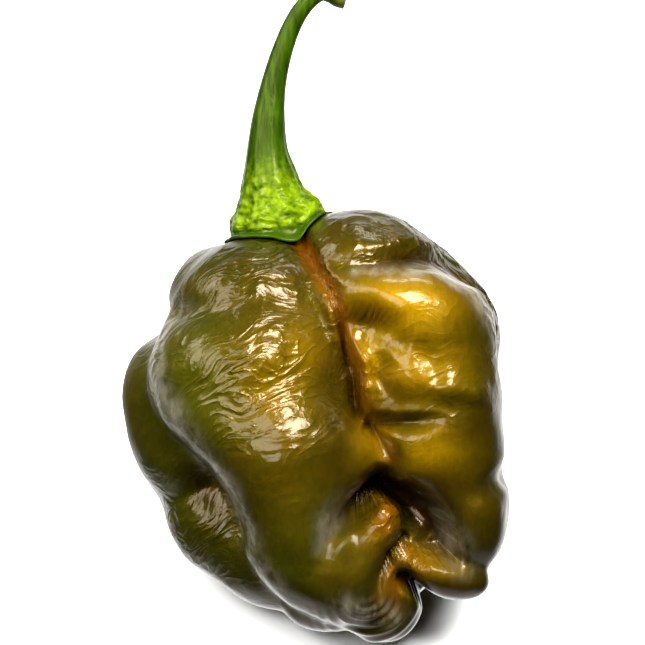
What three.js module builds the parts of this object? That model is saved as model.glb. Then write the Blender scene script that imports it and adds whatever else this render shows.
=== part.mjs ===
// A wrinkled chilli pepper lying on its own lobes, stalk leaning back and up.
// Lengths are in millimetres. The fruit is shaped in its own frame, where x runs to the right,
// y runs away from the front and z runs up its length, and is leaned back at the end.
import * as THREE from "three";
import { mergeVertices } from "three/addons/utils/BufferGeometryUtils.js";

// The fruit
const LEAN_BACK = 35; // degrees the fruit leans back from upright
const GROUND = -19.4; // height under the fruit's middle at which it meets the surface it lies on
const POD_STEPS = 30; // facets along one side of the cube that the fruit's skin is spread from
const FRONT_SHARE = 0.25; // draws the facets towards the front, where the folds are
const SEAM_FRONT = 0.7; // rounding of the creases between the lobes at the front
const SEAM_BACK = 1.4; // and at the back
const FOLD_SPREAD = 0.7; // every fold is this much wider than its line of points says
const SEAM_RANGE = [-2, 6]; // y where the rounding starts and ends its change
const FOLD_RANGE = [-1, -6]; // y where the front folds begin to show and where they show in full
const POD_CENTRE = new THREE.Vector3(4.5, 2, -4);
const POD_REACH = 40; // farther out than any of the skin
const POD_COLOUR = 0x5c5a0c;
const POD_ROUGHNESS = 0.3;

// The cap and the stalk
const STALK_SIDES = 32;
const STALK_RINGS = 44;
const STALK_CROWDING = 1.15; // above 1, it sets the rings closer together at the cap
const STALK_RIBS = { count: 5, depth: 0.03 }; // depth is a share of the stalk's radius
const CAP_CENTRE = new THREE.Vector3(-4.3, 1, 22.3);
const CAP_RADIUS = 6.1;
const CAP_HEIGHT_OVER_SKIN = 6; // where the cap's underside starts to come down to the skin
const CAP_GAP = 0.3; // between the underside of the cap and the fruit
const CAP_SEAM = 1.2; // rounding of the lobes' creases, as the cap's underside follows them
const CAP_PLEATS = { count: 9, depth: 0.05, start: 1 };
const PLEAT_RANGE = [0.45, 0.05]; // shares of the stalk's length where the pleats fade out and in
const LIP_WAVES = [{ count: 5, height: 0.22, start: 0.6 }, { count: 8, height: 0.12, start: 0 }];
const UNDERSIDE_RINGS = [0.3, 0.6, 0.85, 1]; // shares of the lip's radius
const LIP_RINGS = [[1.03, 0.28], [0.97, 0.55], [0.88, 0.69]]; // share of its radius, height
const LOWEST_RINGS = 12; // rings of the stalk that are held above the lip
const RING_LIFT = 0.12; // least height of one of them over the one below
const CUT_BULGE = 0.12; // how far the cut end stands out at its middle
const STALK_COLOUR = 0x5f8a1e;
const STALK_ROUGHNESS = 0.5;

// How points are brought in to a surface
const STEPS_IN = 90;
const STEP_SHARE = 0.8; // of the distance that is left
const LONGEST_STEP_OUT = -1;
const LONGEST_STEP_IN = 3;
const NEXT_TO_NOTHING = 1e-9;
const SAME_POINT = 1e-5;

// Each lobe is a few soft swellings run together: where its middle is, its half sizes, and how
// many degrees its upright axis leans to the right.
const LOBES = [
  { name: "front left", blend: 2.2, swellings: [
    { at: [-6.4, -2.2, 12.8], half: [9.2, 9.5, 8.2], lean: 0 },
    { at: [-7.7, -6.0, 6.6], half: [10.4, 9.6, 6.8], lean: -8 },
    { at: [-9.0, -5.6, 2.2], half: [8.2, 9.0, 4.6], lean: 12 },
    { at: [-3.8, -7.2, -2.2], half: [8.2, 9.7, 7.0], lean: -25 },
    { at: [-1.8, -7.0, -9.5], half: [4.8, 8.6, 7.0], lean: -12 },
    { at: [0.6, -6.5, -16.2], half: [7.0, 6.3, 2.7], lean: 28 },
    { at: [2.8, -6.4, -15.6], half: [4.6, 5.8, 3.9], lean: 14 },
    { at: [4.0, -6.0, -2.4], half: [3.1, 7.3, 4.0], lean: 20 },
  ] },
  { name: "front right", blend: 2.4, swellings: [
    { at: [3.4, -2.4, 16.4], half: [4.0, 8.6, 6.4], lean: -22 },
    { at: [6.8, -0.6, 17.2], half: [5.8, 8.0, 5.8], lean: -8 },
    { at: [10.0, -7.0, 13.5], half: [6.6, 6.6, 4.0], lean: 14 },
    { at: [10.6, -7.6, 11.5], half: [7.2, 6.6, 4.4], lean: 6 },
    { at: [9.8, -5.1, 4.8], half: [5.4, 9.3, 4.7], lean: 0 },
    { at: [14.4, -5.2, 3.4], half: [4.5, 8.5, 5.2], lean: 0 },
    { at: [11.8, -5.1, -2.3], half: [7.0, 9.4, 5.8], lean: -6 },
    { at: [16.8, -4.0, -10.0], half: [4.2, 8.4, 6.2], lean: 5 },
  ] },
  { name: "right shoulder", blend: 1.2, swellings: [
    { at: [8.5, 4.5, 13.8], half: [8.2, 9.0, 8.0], lean: 0 },
    { at: [13.0, 5.0, 9.8], half: [7.6, 10.0, 8.2], lean: 0 },
    { at: [12.9, 5.0, 0.0], half: [7.5, 10.0, 8.2], lean: 0 },
  ] },
  { name: "lower right lip", blend: 1.0, swellings: [
    { at: [13.8, -6.2, -15.7], half: [5.3, 5.2, 2.8], lean: 16 },
    { at: [9.4, -5.2, -14.2], half: [2.0, 4.9, 1.7], lean: -20 },
  ] },
  { name: "tongue", blend: 1.2, swellings: [
    { at: [8.1, -7.4, -9.3], half: [2.0, 5.0, 2.8], lean: 24 },
    { at: [5.9, -7.1, -12.2], half: [3.1, 5.8, 4.2], lean: 26 },
    { at: [4.4, -6.8, -15.4], half: [3.4, 5.6, 3.4], lean: 22 },
  ] },
  { name: "tail", blend: 0.7, swellings: [
    { at: [7.7, -5.2, -17.0], half: [1.8, 4.5, 3.6], lean: 5 },
    { at: [9.9, -4.8, -17.8], half: [1.6, 4.3, 2.8], lean: -15 },
    { at: [7.4, -3.0, -20.4], half: [3.9, 5.5, 3.4], lean: -10 },
    { at: [2.4, -1.5, -18.5], half: [6.2, 6.0, 4.0], lean: -14 },
  ] },
  { name: "left shoulder", blend: 1.0, swellings: [
    { at: [-10.4, 4.0, 14.6], half: [6.0, 8.0, 5.6], lean: 0 },
  ] },
  { name: "far left", blend: 2.0, swellings: [
    { at: [-14.9, 3.5, 4.2], half: [6.6, 9.0, 6.6], lean: 0 },
    { at: [-13.2, 3.0, -2.2], half: [6.8, 9.0, 6.6], lean: 0 },
  ] },
  { name: "lower left", blend: 1.6, swellings: [
    { at: [-9.6, 4.0, -9.4], half: [7.2, 9.0, 7.0], lean: -25 },
    { at: [-3.2, 2.0, -13.8], half: [7.8, 8.0, 6.6], lean: -10 },
  ] },
  { name: "seat of the stalk", blend: 1.0, swellings: [
    { at: [-4.0, 1.5, 17.9], half: [6.8, 6.3, 3.3], lean: -17 },
  ] },
  { name: "middle", blend: 0.8, swellings: [
    { at: [0.0, 3.0, 0.0], half: [12.0, 10.0, 16.0], lean: 0 },
    { at: [7.0, 3.0, -12.0], half: [8.0, 8.0, 8.0], lean: 0 },
    { at: [4.6, -2.6, 5.0], half: [6.4, 7.6, 11.0], lean: 8 },
    { at: [12.0, -2.4, -9.5], half: [6.5, 7.4, 7.0], lean: 0 },
  ] },
  { name: "back top", blend: 2.2, swellings: [
    { at: [-3.0, 10.0, 9.0], half: [9.5, 10.5, 11.0], lean: 0 },
    { at: [6.0, 11.0, 4.0], half: [9.0, 9.5, 11.0], lean: 0 },
  ] },
  { name: "back right", blend: 2.2, swellings: [
    { at: [11.0, 9.0, 2.0], half: [9.0, 10.0, 9.0], lean: 0 },
    { at: [9.5, 13.0, -4.5], half: [8.7, 8.7, 8.7], lean: 0 },
  ] },
  { name: "back left", blend: 2.2, swellings: [
    { at: [-9.5, 9.0, 1.0], half: [9.0, 9.5, 9.0], lean: 0 },
    { at: [-8.0, 12.5, -3.6], half: [9.4, 9.6, 9.4], lean: 0 },
  ] },
];

// Creases and low ridges across the front, as lines of points: x, z, how deep the skin is drawn
// in there (out, where it is negative) and how wide.
const FOLDS = [
  { name: "main crease", points: [
    [-2.2, 21.3, 1.0, 0.8], [-0.9, 19.5, 1.1, 0.8], [0.2, 17.1, 1.0, 0.8],
    [1.6, 15.1, 0.9, 0.8], [2.5, 13.3, 0.9, 0.7], [2.9, 10.8, 0.9, 0.7],
    [3.8, 8.4, 0.9, 0.7], [4.5, 6.1, 0.9, 0.7], [4.5, 3.0, 0.8, 0.7], [4.7, 0.8, 0.5, 0.8],
  ] },
  { name: "fold across the right lobe", points: [
    [5.6, 0.5, 0.7, 0.8], [7.9, 0.9, 1.1, 0.8], [10.8, 1.1, 0.9, 0.9], [13.9, 1.8, 0.3, 1.0],
  ] },
  { name: "lower end of the main crease", points: [
    [6.1, 0.7, 1.0, 0.9], [7.4, -1.5, 1.0, 0.9], [8.4, -3.2, 1.0, 1.0], [8.4, -4.8, 0.9, 1.0],
  ] },
  { name: "hollow above the tongue", points: [
    [7.9, -4.4, 1.4, 0.8], [7.8, -6.0, 2.2, 1.1], [9.0, -7.0, 2.2, 1.3],
  ] },
  { name: "valley right of the tongue", points: [
    [9.2, -7.0, 2.2, 1.2], [10.9, -8.8, 2.1, 1.5], [12.6, -10.6, 1.8, 1.8], [14.4, -12.8, 0.9, 1.7],
  ] },
  { name: "valley left of the tongue", points: [
    [7.6, -4.6, 1.4, 0.8], [6.2, -6.2, 1.6, 0.9], [4.3, -8.0, 1.4, 0.9],
    [2.6, -9.8, 1.0, 0.9], [1.3, -12.0, 0.4, 1.0],
  ] },
  { name: "crease down the tongue", points: [
    [9.6, -11.6, 0.9, 0.7], [8.0, -13.4, 1.2, 0.6], [6.8, -15.8, 1.1, 0.6], [6.3, -19.3, 0.4, 0.7],
  ] },
  { name: "gap beside the tail", points: [
    [9.8, -16.2, 1.5, 0.9], [10.9, -17.2, 1.4, 0.8], [12.1, -18.4, 1.0, 0.8], [13.0, -19.3, 0.8, 0.8],
  ] },
  { name: "notch at the right side", points: [
    [21.0, -5.0, 1.6, 0.9], [19.4, -6.0, 1.0, 0.9], [17.6, -6.8, 0.3, 1.0],
  ] },
  { name: "dimple below the right shoulder", points: [
    [4.0, 12.5, 0.9, 1.3], [5.6, 12.2, 1.4, 1.6], [7.2, 11.6, 1.2, 1.6], [9.0, 9.8, 0.7, 1.3],
  ] },
  { name: "ridge over the dimple", points: [
    [4.6, 15.2, -0.5, 1.4], [7.0, 14.8, -0.9, 1.6], [10.4, 13.8, -0.5, 2.2], [13.6, 12.4, -0.2, 2.4],
  ] },
  { name: "groove behind the ridge", points: [
    [1.8, 18.6, 0.3, 1.2], [3.4, 17.9, 0.9, 1.2], [6.4, 17.9, 1.3, 1.1],
    [9.8, 18.5, 1.5, 1.1], [13.2, 18.3, 1.4, 1.1], [16.6, 16.6, 1.1, 1.1],
  ] },
  { name: "step on the left shoulder", points: [
    [-14.7, 12.7, 0.9, 1.8], [-12.4, 13.0, 0.8, 1.8], [-9.4, 13.5, 0.5, 1.8], [-6.3, 14.0, 0.1, 1.8],
  ] },
  { name: "lip beside the main crease", points: [
    [3.9, 9.8, -0.4, 0.6], [5.2, 7.4, -0.8, 0.6], [5.7, 4.4, -0.8, 0.7], [5.8, 2.2, -0.4, 0.7],
  ] },
  { name: "hollow beside the main crease", points: [
    [7.2, 7.6, 0.7, 0.9], [7.6, 5.8, 0.9, 1.0],
  ] },
  { name: "gap beside the front left lobe", points: [
    [-14.4, -3.6, 1.2, 1.1], [-12.6, -6.2, 2.2, 1.3], [-10.6, -8.6, 2.2, 1.3],
    [-9.0, -11.8, 1.1, 1.2],
  ] },
  { name: "low valley on the right lobe", points: [
    [6.6, 5.6, 0.5, 1.2], [9.0, 3.2, 0.7, 1.4], [12.0, 2.9, 0.6, 1.5], [15.5, 3.0, 0.4, 1.5],
  ] },
];

// The stalk's middle line from the cap to its cut end, with its thickness: x, y, z, radius.
const STALK_LINE = [
  [-4.35, 0.95, 22.6, 5.05],
  [-4.55, 0.75, 24.0, 4.65],
  [-4.9, 0.5, 26.0, 3.6],
  [-5.2, 0.3, 28.3, 2.95],
  [-5.45, 0.1, 31.0, 2.3],
  [-5.3, 0.0, 34.5, 1.85],
  [-4.8, 0.0, 38.0, 1.45],
  [-3.9, 0.0, 41.6, 1.2],
  [-2.6, 0.0, 45.0, 1.05],
  [-1.1, 0.0, 47.3, 0.98],
  [0.5, 0.0, 48.5, 0.95],
  [1.5, -0.05, 48.45, 1.05],
  [2.4, -0.1, 48.2, 1.3],
  [3.3, -0.15, 48.0, 1.36],
];

const leanAngle = THREE.MathUtils.degToRad(LEAN_BACK);

// How far a value has gone from one end of a range to the other, from 0 to 1.
function shareOf([from, to], value) {
  return THREE.MathUtils.clamp((value - from) / (to - from), 0, 1);
}

// Runs several distances together with a rounding of about the blend width.
function blendDistances(distances, blend) {
  const nearest = Math.min(...distances);
  let sum = 0;
  for (const distance of distances) sum += Math.exp(-(distance - nearest) / blend);
  return nearest - blend * Math.log(sum);
}

function swellingDistance(point, swelling) {
  const [x, y, z] = swelling.at;
  const [a, b, c] = swelling.half;
  const angle = THREE.MathUtils.degToRad(swelling.lean);
  const dx = point.x - x;
  const dz = point.z - z;
  const u = dx * Math.cos(angle) - dz * Math.sin(angle);
  const v = point.y - y;
  const w = dx * Math.sin(angle) + dz * Math.cos(angle);
  const near = Math.hypot(u / a, v / b, w / c) + NEXT_TO_NOTHING;
  const slope = Math.hypot(u / (a * a), v / (b * b), w / (c * c)) + NEXT_TO_NOTHING;
  return (near * (near - 1)) / slope;
}

// How deep one fold is at a point, seen from the front.
function foldDepth(point, points) {
  let best = 0;
  for (let i = 0; i + 1 < points.length; i++) {
    const [ax, az, aDepth, aWidth] = points[i];
    const [bx, bz, bDepth, bWidth] = points[i + 1];
    const dx = bx - ax;
    const dz = bz - az;
    const along = ((point.x - ax) * dx + (point.z - az) * dz) / (dx * dx + dz * dz);
    const t = THREE.MathUtils.clamp(along, 0, 1);
    const off = Math.hypot(point.x - ax - t * dx, point.z - az - t * dz);
    const width = THREE.MathUtils.lerp(aWidth, bWidth, t) + FOLD_SPREAD;
    const depth = THREE.MathUtils.lerp(aDepth, bDepth, t) * Math.exp(-((off / width) ** 2));
    if (Math.abs(depth) > Math.abs(best)) best = depth;
  }
  return best;
}

// How far a point is outside the lobes, run together with the given rounding.
function lobeDistance(point, seam) {
  const lobes = LOBES.map((lobe) =>
    blendDistances(lobe.swellings.map((swelling) => swellingDistance(point, swelling)), lobe.blend),
  );
  return blendDistances(lobes, seam);
}

// How far a point is outside the fruit's skin; less than nothing inside it.
function podDistance(point) {
  const seam = THREE.MathUtils.lerp(SEAM_FRONT, SEAM_BACK, shareOf(SEAM_RANGE, point.y));
  let distance = lobeDistance(point, seam);
  const front = shareOf(FOLD_RANGE, point.y);
  if (front > 0) {
    const depths = FOLDS.map((fold) => foldDepth(point, fold.points));
    distance += front * (Math.max(...depths, 0) + Math.min(...depths, 0));
  }
  const height = point.z * Math.cos(leanAngle) - point.y * Math.sin(leanAngle);
  return Math.max(distance, GROUND - height);
}

// Comes in along a line until the distance it is given has fallen to nothing.
function comeIn(start, direction, distance) {
  const point = start.clone();
  for (let i = 0; i < STEPS_IN; i++) {
    const left = STEP_SHARE * distance(point);
    point.addScaledVector(direction, THREE.MathUtils.clamp(left, LONGEST_STEP_OUT, LONGEST_STEP_IN));
  }
  return point;
}

function closedMesh(name, geometry, colour, roughness) {
  geometry.deleteAttribute("normal");
  geometry.deleteAttribute("uv");
  const merged = mergeVertices(geometry, SAME_POINT);
  merged.computeVertexNormals();
  const material = new THREE.MeshStandardMaterial({ color: colour, roughness });
  const mesh = new THREE.Mesh(merged, material);
  mesh.name = name;
  return mesh;
}

// Splits each four-sided facet along its shorter diagonal, so that the creases run clean.
function turnDiagonals(geometry) {
  const position = geometry.attributes.position;
  const index = geometry.index;
  const corner = (i) => new THREE.Vector3().fromBufferAttribute(position, i);
  for (let i = 0; i < index.count; i += 6) {
    const a = index.getX(i);
    const b = index.getX(i + 1);
    const d = index.getX(i + 2);
    const c = index.getX(i + 4);
    if (corner(a).distanceTo(corner(c)) < corner(b).distanceTo(corner(d))) {
      index.array.set([a, b, c, a, c, d], i);
    }
  }
}

// The direction from the fruit's middle in which a point of the cube finds its place on the skin.
function outwardFrom(cubePoint) {
  const spread = (value) => Math.tan((value * Math.PI) / 4);
  const outward = new THREE.Vector3(spread(cubePoint.x), spread(cubePoint.y), spread(cubePoint.z));
  outward.normalize();
  outward.y -= FRONT_SHARE;
  return outward.normalize();
}

// The fruit's skin, spread from a finely divided cube.
function makePod() {
  const geometry = new THREE.BoxGeometry(2, 2, 2, POD_STEPS, POD_STEPS, POD_STEPS);
  const position = geometry.attributes.position;
  const cubePoint = new THREE.Vector3();
  for (let i = 0; i < position.count; i++) {
    const outward = outwardFrom(cubePoint.fromBufferAttribute(position, i));
    const start = POD_CENTRE.clone().addScaledVector(outward, POD_REACH);
    const skin = comeIn(start, outward.negate(), podDistance);
    position.setXYZ(i, skin.x, skin.y, skin.z);
  }
  turnDiagonals(geometry);
  return closedMesh("pod", geometry, POD_COLOUR, POD_ROUGHNESS);
}

// Two directions square to an axis, the first to one side and the second to the front.
function squareTo(axis) {
  const side = new THREE.Vector3().crossVectors(new THREE.Vector3(0, 1, 0), axis).normalize();
  const front = new THREE.Vector3().crossVectors(axis, side);
  return [side, front];
}

// A ring of points, one for each side of the stalk.
function ringOf(place) {
  const ring = [];
  for (let j = 0; j < STALK_SIDES; j++) ring.push(place((2 * Math.PI * j) / STALK_SIDES, j));
  return ring;
}

// A point just over the fruit under the cap, at a share of the lip's radius.
function underCap(axis, angle, share) {
  const [side, front] = squareTo(axis);
  let radius = CAP_RADIUS;
  for (const wave of LIP_WAVES) radius += wave.height * Math.sin(wave.count * angle + wave.start);
  const start = CAP_CENTRE.clone().addScaledVector(axis, CAP_HEIGHT_OVER_SKIN);
  start.addScaledVector(side, share * radius * Math.cos(angle));
  start.addScaledVector(front, share * radius * Math.sin(angle));
  return comeIn(start, axis.clone().negate(), (point) => lobeDistance(point, CAP_SEAM) - CAP_GAP);
}

// The rings that go up the pleated cap and along the stalk to its cut end.
function stalkRings(line, axis, lip) {
  const radii = new THREE.CatmullRomCurve3(
    STALK_LINE.map(([, , , radius], i) => new THREE.Vector3(i, radius, 0)),
  );
  const rings = [];
  for (let i = 0; i <= STALK_RINGS; i++) {
    const along = (i / STALK_RINGS) ** STALK_CROWDING;
    const centre = line.getPoint(along);
    const [side, front] = squareTo(line.getTangent(along));
    const radius = radii.getPoint(along).y;
    const pleat = CAP_PLEATS.depth * shareOf(PLEAT_RANGE, along);
    rings.push(ringOf((angle, j) => {
      const pleats = pleat * Math.sin(CAP_PLEATS.count * angle + CAP_PLEATS.start);
      const ribs = STALK_RIBS.depth * Math.sin(STALK_RIBS.count * angle);
      const reach = radius * (1 + pleats + ribs);
      const point = centre.clone();
      point.addScaledVector(side, reach * Math.cos(angle));
      point.addScaledVector(front, reach * Math.sin(angle));
      const needed = lip[j].dot(axis) + RING_LIFT * (i + 1) - point.dot(axis);
      if (needed > 0 && i < LOWEST_RINGS) point.addScaledVector(axis, needed);
      return point;
    }));
  }
  return rings;
}

// The triangles between rings that follow each other, closed by a point at each end. The points
// are numbered in the same order: the first end, the rings, the last end.
function closedRingIndex(ringCount) {
  const index = [];
  const last = 1 + ringCount * STALK_SIDES;
  for (let j = 0; j < STALK_SIDES; j++) {
    const next = (j + 1) % STALK_SIDES;
    index.push(0, 1 + next, 1 + j);
    for (let k = 0; k + 1 < ringCount; k++) {
      const lower = 1 + k * STALK_SIDES;
      const upper = lower + STALK_SIDES;
      index.push(lower + j, lower + next, upper + next);
      index.push(lower + j, upper + next, upper + j);
    }
    index.push(last - STALK_SIDES + j, last - STALK_SIDES + next, last);
  }
  return index;
}

// The stalk as rings: from the middle of the cap's underside out to the lip, over the lip's edge,
// up the cap and along the stalk.
function makeStem() {
  const line = new THREE.CatmullRomCurve3(STALK_LINE.map(([x, y, z]) => new THREE.Vector3(x, y, z)));
  const axis = line.getTangent(0);
  const underside = UNDERSIDE_RINGS.map((share) => ringOf((angle) => underCap(axis, angle, share)));
  const edge = LIP_RINGS.map(([share, height]) =>
    ringOf((angle) => underCap(axis, angle, share).addScaledVector(axis, height)),
  );
  const rings = [...underside, ...edge, ...stalkRings(line, axis, edge[edge.length - 1])];
  const end = line.getPoint(1).addScaledVector(line.getTangent(1), CUT_BULGE);
  const points = [underCap(axis, 0, 0), ...rings.flat(), end];

  const geometry = new THREE.BufferGeometry().setFromPoints(points);
  geometry.setIndex(closedRingIndex(rings.length));
  return closedMesh("stem", geometry, STALK_COLOUR, STALK_ROUGHNESS);
}

// Leans the pieces back and sets the middle of their underside on the origin.
function layDown(meshes) {
  const lean = new THREE.Matrix4().makeRotationX(-leanAngle);
  const bounds = new THREE.Box3();
  for (const mesh of meshes) {
    mesh.geometry.applyMatrix4(lean);
    mesh.geometry.computeBoundingBox();
    bounds.union(mesh.geometry.boundingBox);
  }
  const middle = bounds.getCenter(new THREE.Vector3());
  for (const mesh of meshes) mesh.geometry.translate(-middle.x, -middle.y, -bounds.min.z);
}

const pod = makePod();
const stem = makeStem();
layDown([pod, stem]);

const chilliPepper = new THREE.Group();
chilliPepper.name = "chilli_pepper";
chilliPepper.add(pod, stem);

export default chilliPepper;
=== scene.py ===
import math

import bpy
import numpy as np
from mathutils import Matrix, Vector, noise


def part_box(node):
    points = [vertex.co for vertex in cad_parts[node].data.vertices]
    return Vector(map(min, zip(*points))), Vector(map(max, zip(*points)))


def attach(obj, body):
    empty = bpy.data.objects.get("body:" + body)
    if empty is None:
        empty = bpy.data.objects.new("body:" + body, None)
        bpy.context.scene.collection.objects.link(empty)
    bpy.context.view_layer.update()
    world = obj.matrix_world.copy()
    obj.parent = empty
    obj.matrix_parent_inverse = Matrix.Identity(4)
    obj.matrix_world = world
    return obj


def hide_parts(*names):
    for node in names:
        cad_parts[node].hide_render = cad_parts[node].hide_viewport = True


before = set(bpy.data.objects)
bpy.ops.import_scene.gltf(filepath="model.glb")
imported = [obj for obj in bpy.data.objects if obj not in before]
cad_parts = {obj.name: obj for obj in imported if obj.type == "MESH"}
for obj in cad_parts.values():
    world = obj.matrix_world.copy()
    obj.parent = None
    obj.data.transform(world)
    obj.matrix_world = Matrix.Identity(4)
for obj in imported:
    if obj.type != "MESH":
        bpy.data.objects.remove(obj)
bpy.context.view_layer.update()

# A wrinkled chilli pepper lying on its own lobes. The fruit is shaped in millimetres in its own
# upright frame, where x runs to the right, y away from the front and z up its length, and is then
# leaned back into the frame of the part, which is in metres.

bl_info = {
    "name": "Chilli Pepper",
    "version": (1, 0, 0),
    "blender": (4, 5, 0),
    "location": "View3D > Sidebar > Chilli",
    "description": "Models a wrinkled brown-green chilli pepper with its stalk, and a stage for it",
    "category": "Add Mesh",
}

MM = 0.001
TINY = 1e-9
POD_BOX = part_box("pod")

# How the fruit lies, and how its skin is found, in millimetres
LEAN_BACK = math.radians(35)
GROUND = -19.4  # level of the ground under the leaned fruit
SEAM_RANGE = (-2.0, 6.0)  # y from where to where the lobes' seams widen to those of the back
FOLD_RANGE = (-1.0, -6.0)  # y from where to where the folds of the front come in
POD_CENTRE = np.array([4.5, 2.0, -4.0])  # the skin's points come in towards it
POD_REACH = 40.0  # how far from it they start
FRONT_SHARE = 0.3  # how far the directions are drawn to the front, which has the finest folds
STEPS_IN = 60  # at most
STEP_SHARE = 0.8  # of the gap that is left
STEP_LIMITS = (-1.0, 3.0)  # back and forward
CLOSE = 0.004  # a gap that counts as none

# Each lobe is a few soft swellings run together: its blend, and for each swelling where its
# middle is, its half sizes, and how many degrees its upright axis leans to the right
LOBES = {
    "front left": (2.2, [
        (-6.4, -2.2, 12.8, 9.2, 9.5, 8.2, 0),
        (-7.7, -6.0, 7.2, 10.1, 9.6, 6.2, -6),
        (-8.7, -5.6, 0.6, 7.3, 9.0, 4.4, 16),
        (-3.5, -7.2, -2.2, 7.7, 9.7, 7.0, -25),
        (-1.8, -7.0, -9.5, 4.8, 8.6, 7.0, -12),
        (0.6, -6.5, -16.2, 7.0, 6.3, 2.7, 28),
        (2.8, -6.4, -15.6, 4.6, 5.8, 3.9, 14),
        (4.0, -6.0, -2.4, 3.1, 7.3, 4.0, 20),
    ]),
    "front right": (2.4, [
        (3.4, -2.4, 16.4, 4.0, 8.6, 6.4, -22),
        (6.8, -0.6, 17.2, 5.8, 8.0, 5.8, -8),
        (10.0, -7.0, 13.5, 6.6, 6.6, 4.0, 14),
        (10.6, -7.6, 11.5, 7.2, 6.6, 4.4, 6),
        (9.8, -5.1, 4.8, 5.4, 9.3, 4.7, 0),
        (14.4, -5.2, 3.4, 4.5, 8.5, 5.2, 0),
        (11.8, -5.1, -2.3, 7.0, 9.4, 5.8, -6),
        (16.8, -4.0, -10.0, 4.2, 8.4, 6.2, 5),
    ]),
    "right shoulder": (1.2, [
        (8.5, 4.5, 13.8, 8.2, 9.0, 8.0, 0),
        (13.0, 5.0, 9.8, 7.6, 10.0, 8.2, 0),
        (12.9, 5.0, 0.0, 7.5, 10.0, 8.2, 0),
    ]),
    "lower right lip": (1.0, [
        (13.8, -6.2, -15.7, 5.3, 5.2, 2.8, 16),
        (9.4, -5.2, -14.2, 2.0, 4.9, 1.7, -20),
    ]),
    "tongue": (1.2, [
        (8.1, -7.4, -9.3, 2.0, 5.0, 2.8, 24),
        (5.9, -7.1, -12.2, 3.1, 5.8, 4.2, 26),
        (4.4, -6.8, -15.4, 3.4, 5.6, 3.4, 22),
    ]),
    "tail": (0.7, [
        (7.7, -5.2, -17.0, 1.8, 4.5, 3.6, 5),
        (9.9, -4.8, -17.8, 1.6, 4.3, 2.8, -15),
        (7.4, -3.0, -20.4, 3.9, 5.5, 3.4, -10),
        (2.4, -1.5, -18.5, 6.2, 6.0, 4.0, -14),
    ]),
    "left shoulder": (1.0, [(-10.4, 4.0, 14.6, 6.0, 8.0, 5.6, 0)]),
    "far left": (2.0, [
        (-14.9, 3.5, 4.2, 6.6, 9.0, 6.6, 0),
        (-13.2, 3.0, -2.2, 6.8, 9.0, 6.6, 0),
    ]),
    "lower left": (1.6, [
        (-9.6, 4.0, -9.4, 7.2, 9.0, 7.0, -25),
        (-3.2, 2.0, -13.8, 7.8, 8.0, 6.6, -10),
    ]),
    "seat of the stalk": (1.0, [(-4.0, 1.5, 17.9, 6.8, 6.3, 3.3, -17)]),
    "middle": (0.8, [
        (0.0, 3.0, 0.0, 12.0, 10.0, 16.0, 0),
        (7.0, 3.0, -12.0, 8.0, 8.0, 8.0, 0),
        (4.6, -2.6, 5.0, 6.4, 7.6, 11.0, 8),
        (12.0, -2.4, -9.5, 6.5, 7.4, 7.0, 0),
    ]),
    "back top": (2.2, [
        (-3.0, 10.0, 9.0, 9.5, 10.5, 11.0, 0),
        (6.0, 11.0, 4.0, 9.0, 9.5, 11.0, 0),
    ]),
    "back right": (2.2, [
        (11.0, 9.0, 2.0, 9.0, 10.0, 9.0, 0),
        (9.5, 13.0, -4.5, 8.7, 8.7, 8.7, 0),
    ]),
    "back left": (2.2, [
        (-9.5, 9.0, 1.0, 9.0, 9.5, 9.0, 0),
        (-8.0, 12.5, -3.6, 9.4, 9.6, 9.4, 0),
    ]),
}

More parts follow.
